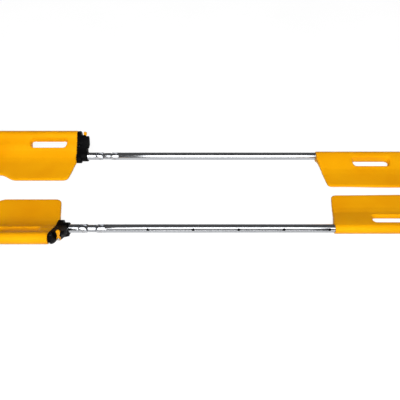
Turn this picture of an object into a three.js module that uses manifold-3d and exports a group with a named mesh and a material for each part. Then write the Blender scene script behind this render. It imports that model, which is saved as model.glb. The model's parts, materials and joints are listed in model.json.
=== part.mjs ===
// Two-part folding scoop stretcher: mirror-image halves that close under a casualty.
// Millimetres. +X to the foot end, +Y to the left half, +Z up, floor at Z = 0.
import * as THREE from 'three';
import { mergeVertices } from 'three/addons/utils/BufferGeometryUtils.js';
import Module from 'manifold-3d';

const wasm = await Module();
wasm.setup();

// Telescoping tube, one each side
const TUBE_Y = 148;
const TUBE_Z = 16;
const TUBE_R = 12.5;
const TUBE_BORE_R = 10.5;
const GUIDE_R = 14;
const GUIDE_BORE_R = 12.7;
const GUIDE_X = [-914, -71];
const INNER_END_X = -150;
const LONG_END_X = 1020;
const GROOVE_WIDTH = 3.6;
const GROOVE_DEPTH = 0.9;
const LOCK_ANGLE = THREE.MathUtils.degToRad(37);
const LOCK_X = -79;
const LOCK_HOLE_R = 4.2;
const LOCK_PITCH = 128.8;
const LAST_LOCK_HOLE_X = 674.5;
const LOCK_HOLES = 5;

// Folding knuckle: two pins with a link between them
const PIN_X = 24.5;
const PIN_R = 3.5;
const EAR_R = 12.2;
const FORK_SLOT = 10.6;
const FORK_LENGTH = 13;
const LINK_EYE_R = 10;

// Head panel
const HEAD_END_X = -1185;
const HEAD_EDGE_Y = 224;
const HEAD_RAIL = { y: 207, z: 53.4, r: 17 };
const HEAD_RAIL_DROP = 27.4;
const HEAD_ARC_Y = 56.5;
const HEAD_START = { rail: -99.5, blade: -109.3, slope: 0.2, webY: 121.5 };
const HEAD_SLOTS = [-194.5, -480, -765];
const HEAD_SLOT_Y = [167, 189.6];

// Foot panel
const FOOT_END_X = 1185;
const FOOT_EDGE_Y = 163.5;
const FOOT_RAIL_R = 15.5;
const FOOT_ARC_Y = 30;
const FOOT_START = { rail: 690, web: 693, blade: 708 };
const FOOT_SLOTS = [867.5];
const FOOT_SLOT_Y = [108, 132];
const FOOT_RIVETS = [945, 1000];
const SLOT_LENGTH = 113;
const SLOT_CORNER = 9;

// Lock housing and lever
const HOUSING_X = [-99, -61];
const COLLAR_END_X = -66.6;
const COLLAR_R = 17.5;
const LEVER_Y = [196.6, 201];
const LEVER_PIVOT_Z = 39;
const LEVER_TOP_Z = 78;
const LEVER_LEAN = THREE.MathUtils.degToRad(12);
const HOUSING_RIVET = [-96, 221.2, 50];

// End couplings
const BAR_END_Y = 26;
const TONGUE = { x: 10, z: 16, reach: 18 };
const LATCH_R = 4;
const LATCH_Y = -10;
const LATCH_TRAVEL = 7;

const GAP = 0.3;

const MATERIALS = {
  yellow: { color: 0xf2a60c, roughness: 0.45, metalness: 0 },
  black: { color: 0x17181a, roughness: 0.55, metalness: 0 },
  aluminium: { color: 0xc9ced4, roughness: 0.28, metalness: 1 },
  steel: { color: 0x9a9da1, roughness: 0.35, metalness: 1 },
};

// ---- solid helpers -------------------------------------------------------

function toSolid(geometry) {
  const bare = new THREE.BufferGeometry();
  bare.setAttribute('position', geometry.getAttribute('position'));
  if (geometry.index) bare.setIndex(geometry.index);
  const merged = mergeVertices(bare, 1e-4);
  return new wasm.Manifold(new wasm.Mesh({
    numProp: 3,
    vertProperties: new Float32Array(merged.getAttribute('position').array),
    triVerts: new Uint32Array(merged.index.array),
  }));
}

function toGeometry(solid) {
  const mesh = solid.getMesh();
  const geometry = new THREE.BufferGeometry();
  geometry.setAttribute('position', new THREE.BufferAttribute(new Float32Array(mesh.vertProperties), 3));
  geometry.setIndex(new THREE.BufferAttribute(new Uint32Array(mesh.triVerts), 1));
  return geometry;
}

function flipWinding(geometry) {
  const index = geometry.index.array;
  for (let i = 0; i < index.length; i += 3) {
    const keep = index[i + 1];
    index[i + 1] = index[i + 2];
    index[i + 2] = keep;
  }
  return geometry;
}

function mirrored(solid) {
  return toSolid(flipWinding(toGeometry(solid).scale(1, -1, 1)));
}

// Solid of revolution about a line through `at`; profile is [distance along axis, radius]
function turned(profile, axis, at, segments = 28) {
  const points = profile.map(([along, radius]) => new THREE.Vector2(radius, along));
  const geometry = new THREE.LatheGeometry([...points, points[0]], segments);
  const solid = toSolid(geometry);
  const upright = solid.volume() < 0 ? toSolid(flipWinding(toGeometry(solid))) : solid;
  const turn = new THREE.Quaternion().setFromUnitVectors(new THREE.Vector3(0, 1, 0), axis.clone().normalize());
  const moved = toGeometry(upright).applyQuaternion(turn).translate(at[0], at[1], at[2]);
  return toSolid(moved);
}

function rod(from, to, radius, axis, at, segments = 28) {
  return turned([[from, 0], [from, radius], [to, radius], [to, 0]].reverse(), axis, at, segments);
}

function pipe(from, to, outer, inner, axis, at, segments = 28) {
  return turned([[from, inner], [to, inner], [to, outer], [from, outer]], axis, at, segments);
}

const ALONG_X = new THREE.Vector3(1, 0, 0);
const ALONG_Y = new THREE.Vector3(0, 1, 0);
const ALONG_LOCK = new THREE.Vector3(0, Math.cos(LOCK_ANGLE), Math.sin(LOCK_ANGLE));
const TUBE_AT = [0, TUBE_Y, TUBE_Z];

function box(x, y, z) {
  const geometry = new THREE.BoxGeometry(x[1] - x[0], y[1] - y[0], z[1] - z[0]);
  return toSolid(geometry.translate((x[0] + x[1]) / 2, (y[0] + y[1]) / 2, (z[0] + z[1]) / 2));
}

// Extrudes a plan outline [[x, y], ...] between two heights
function plate(outline, z) {
  const shape = new THREE.Shape(outline.map(([x, y]) => new THREE.Vector2(x, y)));
  const geometry = new THREE.ExtrudeGeometry(shape, { depth: z[1] - z[0], bevelEnabled: false });
  return toSolid(geometry.translate(0, 0, z[0]));
}

// Extrudes a cross-section [[y, z], ...] between two stations along X
function extrusionX(section, x) {
  const shape = new THREE.Shape(section.map(([y, z]) => new THREE.Vector2(y, z)));
  const geometry = new THREE.ExtrudeGeometry(shape, { depth: x[1] - x[0], bevelEnabled: false });
  geometry.applyMatrix4(new THREE.Matrix4().makeBasis(
    new THREE.Vector3(0, 1, 0), new THREE.Vector3(0, 0, 1), new THREE.Vector3(1, 0, 0)));
  return toSolid(geometry.translate(x[0], 0, 0));
}

function arcPoints(cy, cz, r, from, to, steps) {
  const points = [];
  for (let i = 0; i <= steps; i++) {
    const a = THREE.MathUtils.degToRad(from + (to - from) * i / steps);
    points.push([cy + r * Math.cos(a), cz + r * Math.sin(a)]);
  }
  return points;
}

function smooth(a, b, x) {
  const t = Math.min(1, Math.max(0, (x - a) / (b - a)));
  return t * t * (3 - 2 * t);
}

// Triangles of a flat ring, wound the same way as the ring itself
function capTriangles(flat) {
  const ring = flat.map(([u, v]) => new THREE.Vector2(u, v));
  const ringSign = Math.sign(THREE.ShapeUtils.area(ring));
  return THREE.ShapeUtils.triangulateShape(ring, []).map(([a, b, c]) => {
    const sign = Math.sign(THREE.ShapeUtils.area([ring[a], ring[b], ring[c]]));
    return sign === ringSign || sign === 0 ? [a, b, c] : [a, c, b];
  });
}

// Skins a list of equal-length closed rings of points into one solid
function skin(rings) {
  const count = rings[0].length;
  const positions = rings.flat(2);
  const index = [];
  for (let s = 0; s + 1 < rings.length; s++) {
    for (let i = 0; i < count; i++) {
      const j = (i + 1) % count;
      const a = s * count + i;
      const b = s * count + j;
      index.push(a, b, b + count, a, b + count, a + count);
    }
  }
  const last = (rings.length - 1) * count;
  capTriangles(rings[0].map((p) => [p[1], p[2]])).forEach(([a, b, c]) => index.push(a, c, b));
  capTriangles(rings[rings.length - 1].map((p) => [p[0], p[2]]))
    .forEach(([a, b, c]) => index.push(last + a, last + b, last + c));
  const geometry = new THREE.BufferGeometry();
  geometry.setAttribute('position', new THREE.Float32BufferAttribute(positions, 3));
  geometry.setIndex(index);
  return geometry;
}

function closedSkin(rings) {
  let solid = toSolid(skin(rings));
  if (solid.volume() < 0) solid = toSolid(flipWinding(skin(rings)));
  return solid;
}

// ---- panels ---------------------------------------------------------------

// Head panel cross-section, [y, z], from the inner edge over the top and back underneath
function headSection() {
  return [
    [39.4, 15.5], [41, 18.6], [45, 19.5], [80, 20], [110, 22], [121, 23.8], [131, 26.3],
    [142, 30.8], [152, 36.4], [160, 42.4], [168, 48], [180, 53.5], [187.5, 58],
    ...arcPoints(HEAD_RAIL.y, HEAD_RAIL.z, HEAD_RAIL.r, 150, -140, 11),
    [184.5, 38.5], [176, 30], [171, 18], [167, 5], [162, 0], [135, 0], [130, 4], [124, 11.5], [110, 12],
    [80, 10.4], [50, 9.6], [42, 9.8], [39.9, 12],
  ];
}

// Inner edge of the head panel: full width near the fold, then a shallow recess for the back
function headInnerY(x) {
  const corner = 18;
  const into = Math.min(corner, Math.max(0, x - (HEAD_START.blade - corner)));
  const rounding = corner - Math.sqrt(corner * corner - into * into);
  return 39.4 + 22.6 * smooth(-278, -332, x) + rounding;
}

function headRing(x, along, section) {
  const drop = HEAD_RAIL_DROP * smooth(-870, -1050, x);
  const inner = headInnerY(x);
  return section.map(([y, z]) => {
    const wide = y < 121 ? 121 - (121 - y) * (121 - inner) / (121 - 39.4) : y;
    const shifted = Math.max(0, z - drop * smooth(126, 192, y));
    if (along === 0) return [x, wide, Math.min(z, shifted)];
    const reach = wide - HEAD_ARC_Y;
    const start = HEAD_END_X + HEAD_EDGE_Y - HEAD_ARC_Y;
    return [start - reach * Math.sin(along), HEAD_ARC_Y + reach * Math.cos(along), Math.min(z, shifted)];
  });
}

function headPanel() {
  const section = headSection();
  const stations = [-110, -113, -118, -127, -278, -290, -305, -320, -332];
  for (let x = -870; x > -1000; x -= 36) stations.push(x);
  const first = section.map(([y, z]) => {
    const inner = y < 121 ? 121 - (121 - y) * (121 - 57.4) / (121 - 39.4) : y;
    return [HEAD_START.blade + HEAD_START.slope * (inner - 57.4), inner, z];
  });
  const arcStart = HEAD_END_X + HEAD_EDGE_Y - HEAD_ARC_Y;
  const rings = [first, ...stations.map((x) => headRing(x, 0, section))];
  const turns = 6;
  for (let i = 0; i <= turns; i++) {
    const angle = (Math.PI / 2) * i / turns;
    const level = arcStart - 32 * Math.min(1, i / 3);
    rings.push(headRing(arcStart, angle, section).map((p, k) => [p[0], p[1], headRing(level, 0, section)[k][2]]));
  }
  let solid = closedSkin(rings).subtract(box([HEAD_START.rail, -50], [HEAD_START.webY, 260], [-20, 110]));
  const barX = HEAD_END_X + HEAD_RAIL.r;
  solid = solid.add(rod(BAR_END_Y, 62, HEAD_RAIL.r, ALONG_Y, [barX, 0, HEAD_RAIL.z - HEAD_RAIL_DROP]));
  HEAD_SLOTS.forEach((x) => { solid = solid.subtract(slotCutter(x, HEAD_SLOT_Y, [34, 66], [9, 18, 0.5])); });
  solid = solid.subtract(rod(GUIDE_X[0] - 12, -90, GUIDE_R + GAP, ALONG_X, TUBE_AT));
  return solid.subtract(rod(5, 50, 9.3, ALONG_Y, [barX, 0, HEAD_RAIL.z - HEAD_RAIL_DROP]));
}

// Round-cornered hand slot outline, widened by flare = [along, inboard, outboard]
function slotOutline(x, y, [along, inboard, outboard] = [0, 0, 0]) {
  const half = SLOT_LENGTH / 2 + along - SLOT_CORNER;
  const outline = [];
  [[half, 1, 0], [-half, 1, 90], [-half, -1, 180], [half, -1, 270]].forEach(([cx, side, from]) => {
    const py = side > 0 ? y[1] + outboard - SLOT_CORNER : y[0] - inboard + SLOT_CORNER;
    arcPoints(x + cx, py, SLOT_CORNER, from, from + 90, 3).forEach((p) => outline.push(p));
  });
  return outline;
}

// Straight throat right through, opening out into a wider mouth between two heights
function slotCutter(x, y, [low, high], flare) {
  const mouth = wasm.Manifold.hull([
    ...slotOutline(x, y).map((p) => [...p, low]),
    ...slotOutline(x, y, flare).map((p) => [...p, high]),
  ]);
  return plate(slotOutline(x, y), [-20, 110]).add(mouth);
}

// Foot panel cross-section: the rail is a shell round the tube, the blade is low and thin
function footSection() {
  return [
    [18, 7], [18.2, 10.6], [20, 12.1], [24, 12.5], [45, 12.2], [70, 12.8], [88, 15], [100, 18.5], [112, 22], [124, 25.6],
    [132, 28], [139, 29.6],
    ...arcPoints(TUBE_Y, TUBE_Z, FOOT_RAIL_R, 110, -60, 8),
    [153, 0], [143, 0], [138, 1.2], [132, 4], [122, 7], [100, 7.4], [70, 4.2], [45, 3.4], [24, 3.2], [19.6, 4],
  ];
}

function footInnerY(x) {
  const corner = 14;
  const into = Math.min(corner, Math.max(0, FOOT_START.blade + corner - x));
  const rounding = corner - Math.sqrt(corner * corner - into * into);
  return 18 - 2.5 * smooth(760, 900, x) + 18.5 * smooth(930, 1040, x) + rounding;
}

function footRing(x, along, section) {
  const inner = footInnerY(x);
  return section.map(([y, z]) => {
    const wide = y < 120 ? 120 - (120 - y) * (120 - inner) / (120 - 18) : y;
    if (along === 0) return [x, wide, z];
    const reach = wide - FOOT_ARC_Y;
    const start = FOOT_END_X - FOOT_EDGE_Y + FOOT_ARC_Y;
    return [start + reach * Math.sin(along), FOOT_ARC_Y + reach * Math.cos(along), z];
  });
}

function footPanel() {
  const section = footSection();
  const first = section.map(([y, z]) => {
    const slanted = THREE.MathUtils.mapLinear(y, 18, 133, FOOT_START.blade, FOOT_START.web);
    const x = y > 131 ? FOOT_START.rail - 1 : slanted;
    return [x, y < 120 ? 120 - (120 - y) * (120 - 32) / (120 - 18) : y, z];
  });
  const stations = [709, 712, 716, 722, 760, 830, 900, 930, 960, 985, 1010, 1040];
  const rings = [first, ...stations.map((x) => footRing(x, 0, section))];
  const turns = 6;
  for (let i = 0; i <= turns; i++) {
    rings.push(footRing(FOOT_END_X - FOOT_EDGE_Y + FOOT_ARC_Y, (Math.PI / 2) * i / turns, section));
  }
  const barX = FOOT_END_X - FOOT_RAIL_R;
  let solid = closedSkin(rings).subtract(box([600, FOOT_START.rail], [120, 200], [-20, 60]));
  solid = solid.add(rod(BAR_END_Y, 44, FOOT_RAIL_R, ALONG_Y, [barX, 0, TUBE_Z]));
  FOOT_SLOTS.forEach((x) => { solid = solid.subtract(slotCutter(x, FOOT_SLOT_Y, [9, 34], [9, 21, 2.5])); });
  solid = solid.subtract(rod(600, LONG_END_X + 4, TUBE_R + GAP, ALONG_X, TUBE_AT));
  solid = solid.subtract(rod(5, 42, 9.3, ALONG_Y, [barX, 0, TUBE_Z]));
  FOOT_RIVETS.forEach((x) => { solid = solid.subtract(rod(6, 40, 3.3, ALONG_Y, [x, TUBE_Y, TUBE_Z])); });
  return solid;
}

// ---- tubes and knuckle ----------------------------------------------------

function lockDrill(x, radius, from = 4) {
  return rod(from, 30, radius, ALONG_LOCK, [x, TUBE_Y, TUBE_Z], 16);
}

function grooveCutter(x) {
  const half = GROOVE_WIDTH / 2;
  const floor = TUBE_R - GROOVE_DEPTH;
  const profile = [[-half, floor], [half, floor], [half, 20], [-half, 20]];
  const turn = LOCK_ANGLE - Math.PI / 2;
  return extrusionX(profile.map(([u, v]) => [
    TUBE_Y + u * Math.cos(turn) - v * Math.sin(turn),
    TUBE_Z + u * Math.sin(turn) + v * Math.cos(turn),
  ]), x);
}

function guideTube() {
  const tube = pipe(GUIDE_X[0], GUIDE_X[1], GUIDE_R, GUIDE_BORE_R, ALONG_X, TUBE_AT);
  return tube.subtract(lockDrill(LOCK_X, LOCK_HOLE_R));
}

function guidePlug() {
  const x = GUIDE_X[0];
  return turned([[x - 9.5, 0], [x - 9.5, 12], [x - 6, GUIDE_R], [x - GAP, GUIDE_R], [x - GAP, 12.4],
    [x + 3, 12.4], [x + 3, 0]].reverse(), ALONG_X, TUBE_AT);
}

function innerTube() {
  const ends = [INNER_END_X, -PIN_X - FORK_LENGTH - GAP];
  return pipe(ends[0], ends[1], TUBE_R, TUBE_BORE_R, ALONG_X, TUBE_AT)
    .subtract(grooveCutter([ends[0] - 5, ends[1] - 4]))
    .subtract(lockDrill(LOCK_X, LOCK_HOLE_R));
}

function innerTubePlug() {
  const x = INNER_END_X;
  return turned([[x - 3, 0], [x - 3, 11], [x - GAP, 12.4], [x - GAP, 10.2], [x + 12, 10.2], [x + 12, 0]].reverse(),
    ALONG_X, TUBE_AT);
}

function longTube() {
  const start = PIN_X + FORK_LENGTH + GAP;
  let tube = pipe(start, LONG_END_X, TUBE_R, TUBE_BORE_R, ALONG_X, TUBE_AT)
    .subtract(grooveCutter([start + 4, 735]));
  for (let i = 0; i < LOCK_HOLES; i++) {
    tube = tube.subtract(lockDrill(LAST_LOCK_HOLE_X - i * LOCK_PITCH, LOCK_HOLE_R));
  }
  return tube;
}

// Fork plugged into a tube end; side is -1 for the head side pin, +1 for the foot side pin
function fork(side) {
  const pin = side * PIN_X;
  const outer = pin + side * FORK_LENGTH;
  const span = (a, b) => [Math.min(a, b), Math.max(a, b)];
  const barrel = span(pin, outer);
  let solid = rod(barrel[0], barrel[1], TUBE_R, ALONG_X, TUBE_AT)
    .add(eyeBarrel(pin))
    .add(rod(...span(outer - side, outer + side * 22), TUBE_BORE_R - 0.2, ALONG_X, TUBE_AT));
  const half = FORK_SLOT / 2;
  solid = solid.subtract(box(span(pin - side * 30, pin + side * 10.8), [TUBE_Y - half, TUBE_Y + half], [-10, 50]));
  return solid.subtract(rod(-20, 20, PIN_R + 0.05, ALONG_Y, [pin, TUBE_Y, TUBE_Z], 24));
}

// Round ear end: the tube's barrel shape limited to a radius about the pivot pin
function eyeBarrel(pin) {
  return rod(pin - 13, pin + 13, TUBE_R, ALONG_X, TUBE_AT)
    .intersect(rod(-20, 20, EAR_R, ALONG_Y, [pin, TUBE_Y, TUBE_Z], 28));
}

function foldLink() {
  const thick = FORK_SLOT / 2 - GAP;
  const eye = (x) => rod(-thick, thick, LINK_EYE_R, ALONG_Y, [x, TUBE_Y, TUBE_Z], 28);
  const web = box([-PIN_X, PIN_X], [TUBE_Y - thick, TUBE_Y + thick], [TUBE_Z - 8, TUBE_Z + 8]);
  const block = rod(-11.2, 11.2, 10.9, ALONG_X, TUBE_AT);
  let solid = web.add(eye(-PIN_X)).add(eye(PIN_X)).add(block);
  [-PIN_X, PIN_X].forEach((x) => {
    solid = solid.subtract(rod(-20, 20, PIN_R + 0.05, ALONG_Y, [x, TUBE_Y, TUBE_Z], 24));
  });
  return solid;
}

function pivotPin(x) {
  return turned([[-11.4, 0], [-11.4, PIN_R - 0.6], [-10.8, PIN_R], [10.8, PIN_R], [11.4, PIN_R - 0.6], [11.4, 0]].reverse(),
    ALONG_Y, [x, TUBE_Y, TUBE_Z], 24);
}

// ---- lock -----------------------------------------------------------------

function lockHousing() {
  const rail = HEAD_RAIL;
  const web = [[140, 29], [163, 42], [178, 53.5], [196, 66.5], [207, 70.2], [216, 66], [221.5, 57], [221, 46],
    [213, 38.5], [199, 30], [180, 15], [170, 5], [163, 0.4], [140, 0.4]];
  const collar = rod(HOUSING_X[0], COLLAR_END_X, COLLAR_R, ALONG_X, TUBE_AT, 28)
    .intersect(box([-200, 0], [100, 200], [0.4, 80]));
  const boss = extrusionX([[122, 9], [122, 22], [126, 27], [133, 29.5], [144, 31], [144, 3], [130, 4]], [HOUSING_X[0], -84]);
  let solid = extrusionX(web, HOUSING_X).add(collar).add(boss);
  solid = solid.subtract(box([COLLAR_END_X, 0], [100, 165], [-5, 90]));
  solid = solid.subtract(box([COLLAR_END_X, 0], [160, 240], [-5, 36]));
  const recess = LEVER_Y[0] - 2 * GAP;
  solid = solid.subtract(plate([[-89.5, 240], [-89.5, 219], [-87.2, 206], [-87.2, recess], [-50, recess], [-50, 240]],
    [-5, 90]));
  solid = solid.subtract(plate([[-74, 196], [-61, 187], [-50, 187], [-50, 230], [-74, 230]], [62, 90]));
  solid = solid.subtract(wasm.Manifold.hull([
    ...[[172, -5], [172, 6.5], [205, 36], [240, 36], [240, -5]].map((p) => [-77, ...p]),
    ...[[166, -5], [166, 17], [205, 64], [240, 64], [240, -5]].flatMap((p) => [[-68, ...p], [-50, ...p]]),
  ]));
  solid = solid.subtract(rod(-120, GUIDE_X[1] + GAP, GUIDE_R + GAP, ALONG_X, TUBE_AT));
  solid = solid.subtract(rod(GUIDE_X[1], -50, 16, ALONG_X, TUBE_AT));
  solid = solid.subtract(rod(6, 80, LOCK_HOLE_R, ALONG_LOCK, [LOCK_X, TUBE_Y, TUBE_Z], 20));
  solid = solid.subtract(rod(188.2, 240, 2.8, ALONG_Y, [LOCK_X, 0, LEVER_PIVOT_Z], 28));
  solid = solid.subtract(rod(210, 240, 1.7, ALONG_Y, [HOUSING_RIVET[0], 0, HOUSING_RIVET[2]], 18));
  SCREWS.forEach(({ at }) => {
    solid = solid.subtract(rod(-14, 10, 2.3, new THREE.Vector3(0, 0, 1), at, 18));
    solid = solid.subtract(rod(-GAP, 20, 4.7, new THREE.Vector3(0, 0, 1), at, 18));
  });
  return solid;
}

const SCREWS = [
  { name: 'housing_screw_top', at: [-91, 207, 69.4] },
  { name: 'housing_screw_mid', at: [-92, 168, 44] },
];

function panHead(at) {
  return turned([[-12, 0], [-12, 2], [0, 2], [0, 4.2], [1.4, 4.2], [2.6, 3.1], [2.6, 0]].reverse(),
    new THREE.Vector3(0, 0, 1), at, 18);
}

function guideBush() {
  return turned([[-70.4, 12.6], [-65, 12.6], [-65, 16.4], [-65.7, 17.3], [-66.3, 17.3], [-66.3, 15.7], [-70.4, 15.7]],
    ALONG_X, TUBE_AT, 28)
    .intersect(box([-80, -50], [100, 200], [0.4, 60]));
}

function lockLever() {
  const z = LEVER_PIVOT_Z;
  const half = [[5.6, z - 4], [6.3, z], [5.6, z + 4.5], [3.9, z + 9], [3.3, z + 16], [3.8, z + 22], [4.8, z + 29],
    [5.4, z + 34], [4.7, LEVER_TOP_Z - 2.2], [2.5, LEVER_TOP_Z]];
  const outline = [[0, z - 7.2], [3.2, z - 6.5], ...half];
  const left = outline.slice(1).reverse().map(([x, h]) => [-x, h]);
  const shape = new THREE.Shape([...outline, ...left].map(([x, h]) => new THREE.Vector2(x + LOCK_X, h)));
  const depth = LEVER_Y[1] - LEVER_Y[0] - 1.6;
  const geometry = new THREE.ExtrudeGeometry(shape, {
    depth, bevelEnabled: true, bevelThickness: 0.8, bevelSize: 0.8, bevelOffset: -0.8, bevelSegments: 2,
  });
  geometry.applyMatrix4(new THREE.Matrix4().makeBasis(
    new THREE.Vector3(1, 0, 0), new THREE.Vector3(0, 0, 1), new THREE.Vector3(0, -1, 0)));
  const solid = toSolid(geometry.translate(0, LEVER_Y[1] - 0.8, 0));
  const drilled = toGeometry(solid.subtract(rod(180, 240, 2.58, ALONG_Y, [LOCK_X, 0, z], 20)));
  return toSolid(drilled.translate(-LOCK_X, 0, -z).rotateY(LEVER_LEAN).translate(LOCK_X, 0, z));
}

function leverRivet() {
  return turned([[188.5, 0], [188.5, 2.5], [201.3, 2.5], [201.3, 4.6], [202.4, 4], [203.1, 2.2], [203.3, 0]].reverse(),
    ALONG_Y, [LOCK_X, 0, LEVER_PIVOT_Z], 20);
}

function lockPin() {
  return turned([[13, 0], [13, 3], [14, 3.8], [44, 3.8], [45, 3], [45, 0]].reverse(), ALONG_LOCK,
    [LOCK_X, TUBE_Y, TUBE_Z], 20);
}

// Domed rivet in an outboard face: shank inwards, head proud
function domedRivet(at, shankR, headR, shank) {
  return turned([[-shank, 0], [-shank, shankR], [0.4, shankR], [0.4, headR], [1.3, headR - 0.8], [1.9, 0]].reverse(),
    ALONG_Y, at, 18);
}

// ---- end couplings ----------------------------------------------------------

// Tongue block on the left half; end is -1 at the head, +1 at the foot
function couplingTongue(xc, zc, r, depth) {
  let solid = rod(2, BAR_END_Y - GAP, r, ALONG_Y, [xc, 0, zc])
    .add(rod(BAR_END_Y - 1, BAR_END_Y + depth, 9, ALONG_Y, [xc, 0, zc]));
  solid = solid.add(box([xc - TONGUE.x / 2, xc + TONGUE.x / 2], [-TONGUE.reach, 5], [zc - TONGUE.z / 2, zc + TONGUE.z / 2]));
  return solid.subtract(rod(-40, 40, LATCH_R + 0.3, ALONG_X, [xc, LATCH_Y, zc], 20));
}

// Socket block on the right half, already on the -Y side
function couplingSocket(xc, zc, r, depth, end) {
  const pocket = 0.4;
  let solid = rod(-BAR_END_Y + GAP, -1, r, ALONG_Y, [xc, 0, zc])
    .add(rod(-BAR_END_Y - depth, -BAR_END_Y + 1, 9, ALONG_Y, [xc, 0, zc]));
  solid = solid.subtract(box([xc - TONGUE.x / 2 - pocket, xc + TONGUE.x / 2 + pocket],
    [-TONGUE.reach - pocket, 5], [zc - TONGUE.z / 2 - pocket, zc + TONGUE.z / 2 + pocket]));
  const bore = end > 0 ? [0, 60] : [-60, 0];
  return solid.subtract(rod(bore[0], bore[1], LATCH_R + 0.2, ALONG_X, [xc, LATCH_Y, zc], 20));
}

function latchBolt(xc, zc, r, end) {
  const tip = TONGUE.x / 2 + 0.5;
  const knob = r + LATCH_TRAVEL + 0.3;
  return turned([[tip, 0], [tip, LATCH_R - 0.6], [tip + 0.8, LATCH_R], [knob, LATCH_R], [knob, 5.6],
    [knob + 0.8, 6.4], [knob + 4.2, 6.4], [knob + 5, 5.4], [knob + 5, 0]].reverse(),
  new THREE.Vector3(end, 0, 0), [xc, LATCH_Y, zc], 24);
}

// ---- assembly ---------------------------------------------------------------

const group = new THREE.Group();
group.name = 'scoop_stretcher';

function add(name, solid, finish) {
  const geometry = toGeometry(solid);
  geometry.computeVertexNormals();
  const mesh = new THREE.Mesh(geometry, new THREE.MeshStandardMaterial(MATERIALS[finish]));
  mesh.name = name;
  group.add(mesh);
}

const PIECES = [
  ['head_panel', headPanel(), 'yellow'],
  ['guide_tube', guideTube(), 'aluminium'],
  ['guide_plug', guidePlug(), 'black'],
  ['lock_housing', lockHousing(), 'black'],
  ['guide_bush', guideBush(), 'black'],
  ...SCREWS.map(({ name, at }) => [name, panHead(at), 'steel']),
  ['housing_rivet', domedRivet(HOUSING_RIVET, 1.4, 2.7, 8), 'steel'],
  ['lock_lever', lockLever(), 'yellow'],
  ['lever_rivet', leverRivet(), 'steel'],
  ['lock_pin', lockPin(), 'steel'],
  ['inner_tube', innerTube(), 'aluminium'],
  ['inner_tube_plug', innerTubePlug(), 'black'],
  ['head_fork', fork(-1), 'aluminium'],
  ['head_pivot_pin', pivotPin(-PIN_X), 'steel'],
  ['fold_link', foldLink(), 'aluminium'],
  ['foot_pivot_pin', pivotPin(PIN_X), 'steel'],
  ['foot_fork', fork(1), 'aluminium'],
  ['long_tube', longTube(), 'aluminium'],
  ['foot_panel', footPanel(), 'yellow'],
  ...FOOT_RIVETS.map((x, i) => [`foot_rivet_${i + 1}`, domedRivet([x, FOOT_EDGE_Y, TUBE_Z], 2.4, 4.6, 2.7), 'steel']),
];

PIECES.forEach(([name, solid, finish]) => {
  add(`left_${name}`, solid, finish);
  add(`right_${name}`, mirrored(solid), finish);
});

const HEAD_BAR = [HEAD_END_X + HEAD_RAIL.r, HEAD_RAIL.z - HEAD_RAIL_DROP, HEAD_RAIL.r];
const FOOT_BAR = [FOOT_END_X - FOOT_RAIL_R, TUBE_Z, FOOT_RAIL_R];
add('left_head_coupling', couplingTongue(...HEAD_BAR, 22), 'black');
add('right_head_coupling', couplingSocket(...HEAD_BAR, 22, -1), 'black');
add('head_latch_bolt', latchBolt(...HEAD_BAR, -1), 'steel');
add('left_foot_coupling', couplingTongue(...FOOT_BAR, 14), 'black');
add('right_foot_coupling', couplingSocket(...FOOT_BAR, 14, 1), 'black');
add('foot_latch_bolt', latchBolt(...FOOT_BAR, 1), 'steel');

export default group;
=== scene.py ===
"""Looks of the folding scoop stretcher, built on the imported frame.

+X points to the foot end, +Y to the left half and +Z up. The camera and lights are placed in metres.
Mesh sizes are written in millimetres and scaled by MM.
"""

import bpy
import bmesh
import json
import math
from mathutils import Matrix, Vector


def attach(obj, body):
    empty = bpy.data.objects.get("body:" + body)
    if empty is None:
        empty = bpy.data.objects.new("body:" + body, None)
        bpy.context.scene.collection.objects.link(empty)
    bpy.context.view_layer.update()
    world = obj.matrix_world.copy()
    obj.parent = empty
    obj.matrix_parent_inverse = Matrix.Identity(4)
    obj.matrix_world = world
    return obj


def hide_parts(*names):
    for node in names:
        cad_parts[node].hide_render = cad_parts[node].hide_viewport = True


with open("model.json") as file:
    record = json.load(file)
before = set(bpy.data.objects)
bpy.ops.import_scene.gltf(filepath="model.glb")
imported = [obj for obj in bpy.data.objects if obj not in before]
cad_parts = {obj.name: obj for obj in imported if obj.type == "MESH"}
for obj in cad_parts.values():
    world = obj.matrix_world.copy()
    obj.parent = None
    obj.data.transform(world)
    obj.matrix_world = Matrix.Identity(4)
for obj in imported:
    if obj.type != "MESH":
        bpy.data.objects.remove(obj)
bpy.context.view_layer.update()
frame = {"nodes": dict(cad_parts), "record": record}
NODES = frame["nodes"]
MM = 0.001
TUBE_Y, TUBE_Z, TUBE_R = 148, 16, 12.5  # axis and radius of the left half's long tube

CAMERA_AT, CAMERA_AIM = (0.3073, -0.8185, 0.946), (0.3073, -0.0422, 0.016)
LIGHT_AIM = (0.3, 0, 0)
WORLD_STRENGTH = 0.125


# ---- camera, light, floor ----------------------------------------------------

def look_at(obj, target):
    direction = Vector(target) - obj.location
    obj.rotation_euler = direction.to_track_quat("-Z", "Y").to_euler()


def add_camera():
    data = bpy.data.cameras.new("camera")
    data.lens = 36
    data.sensor_width = 36
    data.clip_end = 50
    camera = bpy.data.objects.new("camera", data)
    bpy.context.scene.collection.objects.link(camera)
    camera.location = CAMERA_AT
    look_at(camera, CAMERA_AIM)
    bpy.context.scene.camera = camera
    bpy.context.scene.view_settings.view_transform = "Standard"


def area_light(name, location, target, size, power):
    data = bpy.data.lights.new(name, "AREA")
    data.shape = "RECTANGLE"
    data.size, data.size_y = size
    data.energy = power
    light = bpy.data.objects.new(name, data)
    bpy.context.scene.collection.objects.link(light)
    light.location = location
    look_at(light, target)


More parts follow.
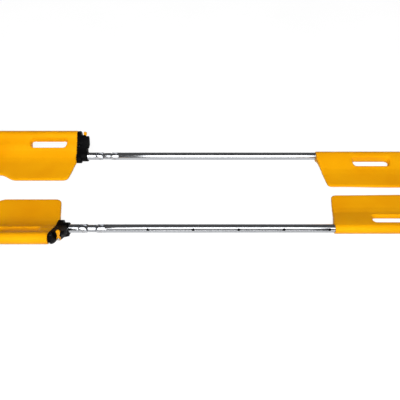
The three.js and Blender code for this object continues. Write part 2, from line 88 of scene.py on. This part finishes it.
def add_light():
    world = bpy.data.worlds.new("studio")
    world.use_nodes = True
    world.node_tree.nodes["Background"].inputs["Color"].default_value = (1, 1, 1, 1)
    world.node_tree.nodes["Background"].inputs["Strength"].default_value = WORLD_STRENGTH
    bpy.context.scene.world = world
    area_light("key", (0.3, -1.78, 1.44), LIGHT_AIM, (2.8, 2.3), 76)
    area_light("strip", (0.3, -0.95, 2.15), LIGHT_AIM, (2.8, 0.4), 14)


# ---- materials ---------------------------------------------------------------

EVEN = (1, 1, 1)
ALONG_X = (0.02, 1, 1)  # noise drawn out into streaks along the tubes
ALUMINIUM_LIGHT, ALUMINIUM_DARK = (0.50, 0.51, 0.53), (0.41, 0.42, 0.44)
# painted shade: near-black colours for the recesses below the polished skin (groove, lock holes, bore)
RECESS_SHADE_LIGHT, RECESS_SHADE_DARK = (0.06, 0.06, 0.062), (0.03, 0.03, 0.032)
POLISHED_SKIN = 0.35
RECESS_ROUGHNESS = 0.3  # added to the polished roughness


class Nodes:
    """Small helper round one material's node tree."""

    def __init__(self, name):
        self.material = bpy.data.materials.new(name)
        self.material.use_nodes = True
        self.tree = self.material.node_tree
        self.shader = self.tree.nodes["Principled BSDF"]

    def add(self, kind, **values):
        node = self.tree.nodes.new(kind)
        for key, value in values.items():
            if hasattr(node, key):
                setattr(node, key, value)
            else:
                node.inputs[key].default_value = value
        return node

    def link(self, a, b):
        self.tree.links.new(a, b)

    def noise(self, scale, detail=3.0, stretch=EVEN):
        coords = self.add("ShaderNodeTexCoord")
        mapping = self.add("ShaderNodeMapping")
        mapping.inputs["Scale"].default_value = stretch
        self.link(coords.outputs["Object"], mapping.inputs["Vector"])
        noise = self.add("ShaderNodeTexNoise")
        noise.inputs["Scale"].default_value = scale
        noise.inputs["Detail"].default_value = detail
        self.link(mapping.outputs["Vector"], noise.inputs["Vector"])
        return noise.outputs["Fac"]

    def ramp(self, fac, stops):
        ramp = self.add("ShaderNodeValToRGB")
        while len(ramp.color_ramp.elements) < len(stops):
            ramp.color_ramp.elements.new(0.5)
        for element, (place, colour) in zip(ramp.color_ramp.elements, stops):
            element.position = place
            element.color = colour if len(colour) == 4 else (*colour, 1)
        self.link(fac, ramp.inputs["Fac"])
        return ramp.outputs["Color"]

    def bump(self, height, strength, distance, normal=None):
        bump = self.add("ShaderNodeBump")
        bump.inputs["Strength"].default_value = strength
        bump.inputs["Distance"].default_value = distance
        self.link(height, bump.inputs["Height"])
        if normal is not None:
            self.link(normal, bump.inputs["Normal"])
        return bump.outputs["Normal"]

    def roughness(self, fac, low, high):
        grey = self.ramp(fac, [(0.3, (low,) * 3), (0.7, (high,) * 3)])
        self.link(grey, self.shader.inputs["Roughness"])


def moulded(name, light, dark, rough, grain):
    """Moulded plastic: slow colour drift, uneven sheen, fine spark grain and faint sink marks."""
    m = Nodes(name)
    broad = m.noise(7, 4)
    m.link(m.ramp(broad, [(0.3, dark), (0.62, light)]), m.shader.inputs["Base Color"])
    m.roughness(m.noise(55, 5), rough - 0.05, rough + 0.07)
    fine = m.bump(m.noise(1500, 2), grain, 0.0002)
    m.link(m.bump(m.noise(90, 2), 0.05, 0.001, fine), m.shader.inputs["Normal"])
    return m


def yellow_plastic():
    m = moulded("yellow_plastic", (0.90, 0.388, 0.002), (0.84, 0.325, 0.001), 0.40, 0.10)
    m.shader.inputs["Specular IOR Level"].default_value = 0.3
    m.shader.inputs["Specular Tint"].default_value = (1.0, 0.62, 0.08, 1)
    return m.material


def black_plastic():
    m = moulded("black_plastic", (0.003, 0.003, 0.0033), (0.0015, 0.0015, 0.0018), 0.48, 0.3)
    m.shader.inputs["Specular IOR Level"].default_value = 0.035
    return m.material


def drawn_metal(name, colour, dark, rough, stretch):
    m = Nodes(name)
    m.shader.inputs["Metallic"].default_value = 1
    streaks = m.noise(300, 4, stretch)
    m.link(m.ramp(streaks, [(0.35, dark), (0.65, colour)]), m.shader.inputs["Base Color"])
    m.roughness(m.noise(40, 5, stretch), rough - 0.05, rough + 0.08)
    m.link(m.bump(streaks, 0.08, 0.0003), m.shader.inputs["Normal"])
    return m.material


def grooved_aluminium():
    """Drawn aluminium with painted shade below its polished skin: the groove, the lock holes and the bore
    are painted near-black and made rougher.
    """
    m = Nodes("grooved_aluminium")
    m.shader.inputs["Metallic"].default_value = 1
    place = m.add("ShaderNodeSeparateXYZ")
    m.link(m.add("ShaderNodeTexCoord").outputs["Object"], place.inputs[0])

    def maths(operation, a, b=None):
        node = m.add("ShaderNodeMath", operation=operation)
        for socket, value in zip(node.inputs, (a, b)):
            if isinstance(value, (int, float)):
                socket.default_value = value
            elif value is not None:
                m.link(value, socket)
        return node.outputs[0]

    across = maths("SUBTRACT", maths("ABSOLUTE", place.outputs["Y"]), TUBE_Y * MM)
    up = maths("SUBTRACT", place.outputs["Z"], TUBE_Z * MM)
    radius = maths("SQRT", maths("ADD", maths("MULTIPLY", across, across), maths("MULTIPLY", up, up)))
    # inside marks the groove, lock holes and bore, which get the painted shade
    inside = maths("LESS_THAN", radius, (TUBE_R - POLISHED_SKIN) * MM)
    streaks = m.noise(300, 4, ALONG_X)
    mix = m.add("ShaderNodeMix", data_type="RGBA")
    ends = {socket.name: socket for socket in (*mix.inputs, *mix.outputs) if socket.enabled}
    m.link(inside, ends["Factor"])
    m.link(m.ramp(streaks, [(0.35, ALUMINIUM_DARK), (0.65, ALUMINIUM_LIGHT)]), ends["A"])
    m.link(m.ramp(m.noise(60, 4), [(0.3, RECESS_SHADE_DARK), (0.7, RECESS_SHADE_LIGHT)]), ends["B"])
    m.link(ends["Result"], m.shader.inputs["Base Color"])
    polish = m.ramp(m.noise(40, 5, ALONG_X), [(0.3, (0.12,) * 3), (0.7, (0.25,) * 3)])
    m.link(maths("ADD", polish, maths("MULTIPLY", inside, RECESS_ROUGHNESS)), m.shader.inputs["Roughness"])
    m.link(m.bump(streaks, 0.08, 0.0003), m.shader.inputs["Normal"])
    return m.material


YELLOW = yellow_plastic()
BLACK = black_plastic()
ALUMINIUM = drawn_metal("drawn_aluminium", ALUMINIUM_LIGHT, ALUMINIUM_DARK, 0.17, ALONG_X)
GROOVED = grooved_aluminium()
CAST = drawn_metal("cast_aluminium", (0.45, 0.46, 0.48), (0.35, 0.36, 0.38), 0.27, EVEN)
STEEL = drawn_metal("zinc_steel", (0.50, 0.50, 0.49), (0.36, 0.36, 0.36), 0.30, EVEN)
DARK_STEEL = drawn_metal("blackened_steel", (0.035, 0.035, 0.037), (0.02, 0.02, 0.021), 0.42, EVEN)


def paint(obj, material):
    obj.data.materials.clear()
    obj.data.materials.append(material)


def shade(obj, angle=35):
    for polygon in obj.data.polygons:
        polygon.use_smooth = True
    obj.data.set_sharp_from_angle(angle=math.radians(angle))


# ---- mesh helpers ------------------------------------------------------------

def smooth_step(a, b, x):
    t = min(1, max(0, (x - a) / (b - a)))
    return t * t * (3 - 2 * t)


def arc_points(cy, cz, r, start, end, steps):
    angles = [math.radians(start + (end - start) * i / steps) for i in range(steps + 1)]
    return [(cy + r * math.cos(a), cz + r * math.sin(a)) for a in angles]


def mesh_object(name, vertices, faces):
    mesh = bpy.data.meshes.new(name)
    mesh.from_pydata([(x * MM, y * MM, z * MM) for x, y, z in vertices], [], faces)
    obj = bpy.data.objects.new(name, mesh)
    bpy.context.scene.collection.objects.link(obj)
    fix = bmesh.new()
    fix.from_mesh(mesh)
    bmesh.ops.recalc_face_normals(fix, faces=fix.faces)
    fix.to_mesh(mesh)
    fix.free()
    return obj


def skin(name, rings):
    """Closed surface through rings of equally many points, capped at both ends."""
    count = len(rings[0])
    faces = [tuple(range(count)), tuple((len(rings) - 1) * count + i for i in range(count))]
    for s in range(len(rings) - 1):
        for i in range(count):
            j = (i + 1) % count
            faces.append((s * count + i, s * count + j, (s + 1) * count + j, (s + 1) * count + i))
    return mesh_object(name, [p for ring in rings for p in ring], faces)


def loft(name, bottom, low, top, high):
    """Closed solid between two level outlines with the same number of points."""
    count = len(bottom)
    vertices = [(x, y, low) for x, y in bottom] + [(x, y, high) for x, y in top]
    faces = [tuple(range(count)), tuple(range(count, 2 * count))]
    faces += [(i, (i + 1) % count, (i + 1) % count + count, i + count) for i in range(count)]
    return mesh_object(name, vertices, faces)


def prism(name, outline, low, high):
    return loft(name, outline, low, outline, high)


def rod(name, axis, at, span, radius, steps=48):
    """Round bar along "x" or "y" through the point at, between two stations, in millimetres."""
    rings = []
    for station in span:
        ring = []
        for i in range(steps):
            a = 2 * math.pi * i / steps
            u, v = radius * math.cos(a), radius * math.sin(a)
            if axis == "x":
                ring.append((station, at[1] + u, at[2] + v))
            else:
                ring.append((at[0] + u, station, at[2] + v))
        rings.append(ring)
    return skin(name, rings)


def apply(obj, kind, **settings):
    modifier = obj.modifiers.new(kind.lower(), kind)
    for key, value in settings.items():
        setattr(modifier, key, value)
    graph = bpy.context.evaluated_depsgraph_get()
    mesh = bpy.data.meshes.new_from_object(obj.evaluated_get(graph))
    obj.modifiers.clear()
    old = obj.data
    obj.data = mesh
    bpy.data.meshes.remove(old)


def combine(obj, other, operation):
    apply(obj, "BOOLEAN", operation=operation, object=other, solver="EXACT")
    bpy.data.objects.remove(other)


def densify(points, step=3.0):
    """Splits each long edge of a closed outline into equal pieces, about step long."""
    out = []
    for i, (y0, z0) in enumerate(points):
        y1, z1 = points[(i + 1) % len(points)]
        n = max(1, int(math.hypot(y1 - y0, z1 - z0) / step))
        out += [(y0 + (y1 - y0) * k / n, z0 + (z1 - z0) * k / n) for k in range(n)]
    return out


def slot_outline(x, y, length, corner):
    points = []
    for cx, side, start in ((1, 1, 0), (-1, 1, 90), (-1, -1, 180), (1, -1, 270)):
        px = x + cx * (length / 2 - corner)
        py = y[1] - corner if side > 0 else y[0] + corner
        points += arc_points(px, py, corner, start, start + 90, 8)
    return points


def flared_slot(obj, x, y, low, high, flare):
    """Cuts a hand slot whose mouth opens out towards the top; flare is (along, inboard, outboard)."""
    throat = slot_outline(x, y, SLOT_LENGTH, SLOT_CORNER)
    along, inboard, outboard = flare
    mouth = []
    for px, py in throat:
        far_x = (px - x) / (SLOT_LENGTH / 2)
        far_y = (py - (y[0] + y[1]) / 2) / ((y[1] - y[0]) / 2)
        mouth.append((px + along * far_x, py + (outboard if far_y > 0 else inboard) * far_y))
    combine(obj, prism("slot", throat, CUT_FLOOR, high), "DIFFERENCE")
    combine(obj, loft("mouth", throat, low, mouth, high), "DIFFERENCE")


def soften(obj):
    """Rounds every edge a little, as moulding does."""
    apply(obj, "REMESH", mode="VOXEL", voxel_size=VOXEL)
    apply(obj, "SMOOTH", factor=0.5, iterations=SMOOTH_ROUNDS)


def stretched(y, blade, flat, inner):
    """Stretches the blade so that its inner edge lies at inner; points beyond flat stay."""
    return flat - (flat - y) * (flat - inner) / (flat - blade) if y < flat else y


# ---- panels ------------------------------------------------------------------

VOXEL = 2.6 * MM
SMOOTH_ROUNDS = 7
CUT_FLOOR = -20  # cutters start this far down, clear of the underside
SLOT_LENGTH, SLOT_CORNER = 113, 9
TURN_STEPS, TURN_STEP = 37, 2.5  # rings round each end's quarter turn, and degrees between them
LATCH_BORE = 9.3

HEAD_END, HEAD_EDGE, HEAD_ARC = -1185, 224, 56.5
HEAD_BLADE, HEAD_FLAT = 39.4, 121  # the section's inner edge, and where the blade meets the rail
HEAD_START_BLADE = 57.4  # inner edge of the blade's slanted first ring
HEAD_CORNER = 18
HEAD_RAIL = (207, 53.4, 17)  # y and z of the grip rail's centre, and its radius
HEAD_STEP = -99.5
HEAD_DROP = 27.4
HEAD_SLOTS, HEAD_SLOT_Y = (-194.5, -480, -765), (167, 189.6)
HEAD_BORE = 14.3

FOOT_END, FOOT_EDGE, FOOT_ARC = 1185, 163.5, 30
FOOT_BLADE, FOOT_FLAT = 18, 120
FOOT_START_BLADE = 32
FOOT_CORNER = 14
FOOT_RAIL_R = 15.5
FOOT_STEP = 690
FOOT_SLOTS, FOOT_SLOT_Y = (867.5,), (108, 132)
FOOT_BORE = 12.8


def head_section():
    top = [(HEAD_BLADE, 15.5), (41, 18.6), (45, 19.5), (80, 20), (110, 22), (HEAD_FLAT, 23.8),
           (131, 26.3), (142, 30.8), (152, 36.4), (160, 42.4), (168, 48), (180, 53.5), (187.5, 58)]
    under = [(184.5, 38.5), (176, 30), (171, 18), (167, 5), (162, 0), (135, 0), (130, 4),
             (124, 11.5), (110, 12), (80, 10.4), (50, 9.6), (42, 9.8), (39.9, 12)]
    return densify(top + arc_points(*HEAD_RAIL, 150, -140, 30) + under)


def head_inner(x):
    """The blade's inner edge: a rounded corner at its start, then a step outwards."""
    into = min(HEAD_CORNER, max(0, x + 109 + HEAD_CORNER))
    corner = math.sqrt(HEAD_CORNER * HEAD_CORNER - into * into)
    return HEAD_BLADE + 22.6 * smooth_step(-278, -332, x) + HEAD_CORNER - corner


def head_ring(x, turn, level, section):
    """One ring of the head panel, swept round the end by turn; level sets how far the rail has dropped."""
    drop = HEAD_DROP * smooth_step(-870, -1050, level)
    inner = head_inner(x)
    ring = []
    for y, z in section:
        wide = stretched(y, HEAD_BLADE, HEAD_FLAT, inner)
        low = min(z, max(0, z - drop * smooth_step(126, 192, y)))
        reach = wide - HEAD_ARC
        if turn is None:
            ring.append((x, wide, low))
        else:
            ring.append((x - reach * math.sin(turn), HEAD_ARC + reach * math.cos(turn), low))
    return ring


def head_panel(side):
    section = head_section()
    start = []
    for y, z in section:
        wide = stretched(y, HEAD_BLADE, HEAD_FLAT, HEAD_START_BLADE)
        start.append((-109.3 + 0.2 * (wide - HEAD_START_BLADE), wide, z))
    stations = [-109.6, -110.5, -112, -114, -117, -121, -127, -200] + [-278 - 4.5 * i for i in range(13)]
    stations += [-400, -600, -800] + list(range(-870, -1015, -12))
    rings = [start] + [head_ring(x, None, x, section) for x in stations]
    arc_start = HEAD_END + HEAD_EDGE - HEAD_ARC
    for i in range(TURN_STEPS):
        level = arc_start - 32 * min(1, i / 18)
        rings.append(head_ring(arc_start, math.radians(TURN_STEP * i), level, section))
    obj = skin(f"{side}_head_moulding", rings)
    step = [(HEAD_STEP, 121.5), (-50, 121.5), (-50, 260), (HEAD_STEP, 260)]
    combine(obj, prism("step", step, CUT_FLOOR, 110), "DIFFERENCE")
    bar_at = (HEAD_END + HEAD_RAIL[2], 0, HEAD_RAIL[1] - HEAD_DROP)
    combine(obj, rod("bar", "y", bar_at, (26, 62), HEAD_RAIL[2]), "UNION")
    for x in HEAD_SLOTS:
        flared_slot(obj, x, HEAD_SLOT_Y, 34, 66, (9, 18, 0.5))
    soften(obj)
    combine(obj, rod("bore", "x", (0, TUBE_Y, TUBE_Z), (-920, -90), HEAD_BORE), "DIFFERENCE")
    combine(obj, rod("bore", "y", bar_at, (5, 50), LATCH_BORE), "DIFFERENCE")
    return obj


def foot_section():
    top = [(FOOT_BLADE, 7), (18.2, 10.6), (20, 12.1), (24, 12.5), (45, 12.2), (70, 12.8), (88, 15),
           (100, 18.5), (112, 22), (124, 25.6), (132, 28), (139, 29.6)]
    under = [(153, 0), (143, 0), (138, 1.2), (132, 4), (122, 7), (100, 7.4), (70, 4.2), (45, 3.4),
             (24, 3.2), (19.6, 4)]
    return densify(top + arc_points(TUBE_Y, TUBE_Z, FOOT_RAIL_R, 110, -60, 26) + under)


def foot_inner(x):
    """The blade's inner edge: a rounded corner, a slight swell inwards, then a step outwards."""
    into = min(FOOT_CORNER, max(0, 722 - x))
    corner = math.sqrt(FOOT_CORNER * FOOT_CORNER - into * into)
    swell, taper = 2.5 * smooth_step(760, 900, x), 18.5 * smooth_step(930, 1040, x)
    return FOOT_BLADE - swell + taper + FOOT_CORNER - corner


def foot_ring(x, turn, section):
    inner = foot_inner(x)
    ring = []
    for y, z in section:
        wide = stretched(y, FOOT_BLADE, FOOT_FLAT, inner)
        reach = wide - FOOT_ARC
        if turn is None:
            ring.append((x, wide, z))
        else:
            ring.append((x + reach * math.sin(turn), FOOT_ARC + reach * math.cos(turn), z))
    return ring


def foot_panel(side):
    section = foot_section()
    start = []
    for y, z in section:
        wide = stretched(y, FOOT_BLADE, FOOT_FLAT, FOOT_START_BLADE)
        start.append((708 - 15 * (y - FOOT_BLADE) / 115 if y <= 131 else 689, wide, z))
    stations = [708.4, 709, 710, 712, 714, 717, 722, 760, 800, 830, 860, 900]
    stations += list(range(930, 1050, 10))
    rings = [start] + [foot_ring(x, None, section) for x in stations]
    for i in range(TURN_STEPS):
        arc_start = FOOT_END - FOOT_EDGE + FOOT_ARC
        rings.append(foot_ring(arc_start, math.radians(TURN_STEP * i), section))
    obj = skin(f"{side}_foot_moulding", rings)
    step = [(600, 124), (FOOT_STEP, 124), (FOOT_STEP, 200), (600, 200)]
    combine(obj, prism("step", step, CUT_FLOOR, 60), "DIFFERENCE")
    bar_at = (FOOT_END - FOOT_RAIL_R, 0, TUBE_Z)
    combine(obj, rod("bar", "y", bar_at, (26, 44), FOOT_RAIL_R), "UNION")
    for x in FOOT_SLOTS:
        flared_slot(obj, x, FOOT_SLOT_Y, 9, 34, (9, 21, 2.5))
    soften(obj)
    combine(obj, rod("bore", "x", (0, TUBE_Y, TUBE_Z), (600, 1024), FOOT_BORE), "DIFFERENCE")
    combine(obj, rod("bore", "y", bar_at, (5, 42), LATCH_BORE), "DIFFERENCE")
    return obj


def mirror(obj):
    """Turns a left piece into a right one, with its faces still pointing outwards."""
    fix = bmesh.new()
    fix.from_mesh(obj.data)
    bmesh.ops.transform(fix, matrix=Matrix.Scale(-1, 4, (0, 1, 0)), verts=fix.verts)
    bmesh.ops.reverse_faces(fix, faces=fix.faces)
    fix.to_mesh(obj.data)
    fix.free()


def add_panels():
    kinds = ((head_panel, "head_panel", "head_frame"), (foot_panel, "foot_panel", "foot_section"))
    for side in ("left", "right"):
        for make, node, body in kinds:
            obj = make(side)
            if side == "right":
                mirror(obj)
            paint(obj, YELLOW)
            shade(obj, 50)
            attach(obj, f"{side}_{body}")
            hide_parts(f"{side}_{node}")


# ---- CAD nodes that stay -----------------------------------------------------

SHARP_EDGE = math.radians(32)
WELD_REACH = 0.002 * MM

FINISH = {
    "yellow_plastic": YELLOW,
    "black_plastic": BLACK,
    "aluminium": ALUMINIUM,
    "steel": STEEL,
    "dark_steel": DARK_STEEL,
}


def smoothing_group():
    """Geometry nodes that shade faces smoothly, except across edges sharper than SHARP_EDGE."""
    group = bpy.data.node_groups.new("smooth_by_angle", "GeometryNodeTree")
    group.interface.new_socket("Geometry", in_out="INPUT", socket_type="NodeSocketGeometry")
    group.interface.new_socket("Geometry", in_out="OUTPUT", socket_type="NodeSocketGeometry")
    start, end = group.nodes.new("NodeGroupInput"), group.nodes.new("NodeGroupOutput")
    faces = group.nodes.new("GeometryNodeSetShadeSmooth")
    edges = group.nodes.new("GeometryNodeSetShadeSmooth")
    faces.domain, edges.domain = "FACE", "EDGE"
    edges.inputs["Shade Smooth"].default_value = False
    angle = group.nodes.new("GeometryNodeInputMeshEdgeAngle")
    sharp = group.nodes.new("FunctionNodeCompare")
    sharp.data_type, sharp.operation = "FLOAT", "GREATER_THAN"
    sharp.inputs["B"].default_value = SHARP_EDGE
    group.links.new(start.outputs[0], faces.inputs["Geometry"])
    group.links.new(faces.outputs["Geometry"], edges.inputs["Geometry"])
    group.links.new(angle.outputs["Unsigned Angle"], sharp.inputs["A"])
    group.links.new(sharp.outputs["Result"], edges.inputs["Selection"])
    group.links.new(edges.outputs["Geometry"], end.inputs[0])
    return group


DEFAULT_BEVEL = 0.2
BEVEL = {
    "lock_housing": 0.9,
    "lock_lever": 0.5,
    "fork": 0.3,
    "fold_link": 0.5,
    "coupling": 0.6,
    "guide_tube": 0.25,
    "inner_tube": 0.25,
    "long_tube": 0.3,
}


def finish_nodes():
    slots = {part["node"]: part["material_slot"] for part in frame["record"]["subparts"]}
    smoothing = smoothing_group()
    for name, obj in NODES.items():
        material = CAST if name.endswith("fold_link") else FINISH[slots[name]]
        if name.endswith("long_tube"):
            material = GROOVED
        paint(obj, material)
        weld = obj.modifiers.new("weld", "WELD")
        weld.merge_threshold = WELD_REACH
        width = next((size for ending, size in BEVEL.items() if name.endswith(ending)), DEFAULT_BEVEL)
        bevel = obj.modifiers.new("edges", "BEVEL")
        bevel.width = width * MM
        bevel.segments = 2
        bevel.limit_method = "ANGLE"
        bevel.angle_limit = SHARP_EDGE
        bevel.use_clamp_overlap = True
        obj.modifiers.new("smooth", "NODES").node_group = smoothing


# ---- stage -------------------------------------------------------------------

FLOOR_HALF, FLOOR_Z = 9500, -0.2
BACKDROP_R, BACKDROP_SUNK = 9000, 1  # its rim lies just below the floor
FLOOR_GLOW = 0.93


def dome(name, radius):
    """Plain studio backdrop all round: a hemisphere standing on the floor."""
    turns = [math.radians(a) for a in range(0, 360, 6)]
    rings = []
    for level in range(0, 90, 6):
        high, out = radius * math.sin(math.radians(level)), radius * math.cos(math.radians(level))
        rings.append([(out * math.cos(a), out * math.sin(a), high - BACKDROP_SUNK) for a in turns])
    return skin(name, rings)


def add_floor():
    """Floor and backdrop glow an even white, and neither is seen by diffuse rays."""
    signs = ((-1, -1), (1, -1), (1, 1), (-1, 1))
    corners = [(across * FLOOR_HALF, along * FLOOR_HALF, FLOOR_Z) for across, along in signs]
    floor = mesh_object("floor", corners, [(0, 1, 2, 3)])
    m = Nodes("floor_paper")
    paper = m.ramp(m.noise(3, 2), [(0.3, (0.13, 0.13, 0.13)), (0.7, (0.16, 0.16, 0.16))])
    m.link(paper, m.shader.inputs["Base Color"])
    m.shader.inputs["Roughness"].default_value = 0.9
    m.shader.inputs["Specular IOR Level"].default_value = 0
    m.shader.inputs["Emission Color"].default_value = (1, 1, 1, 1)
    m.shader.inputs["Emission Strength"].default_value = FLOOR_GLOW
    paint(floor, m.material)
    floor.visible_diffuse = False
    backdrop = dome("backdrop", BACKDROP_R)
    paint(backdrop, m.material)
    backdrop.visible_diffuse = backdrop.visible_glossy = backdrop.visible_shadow = False


add_camera()
add_light()
finish_nodes()
add_panels()
add_floor()
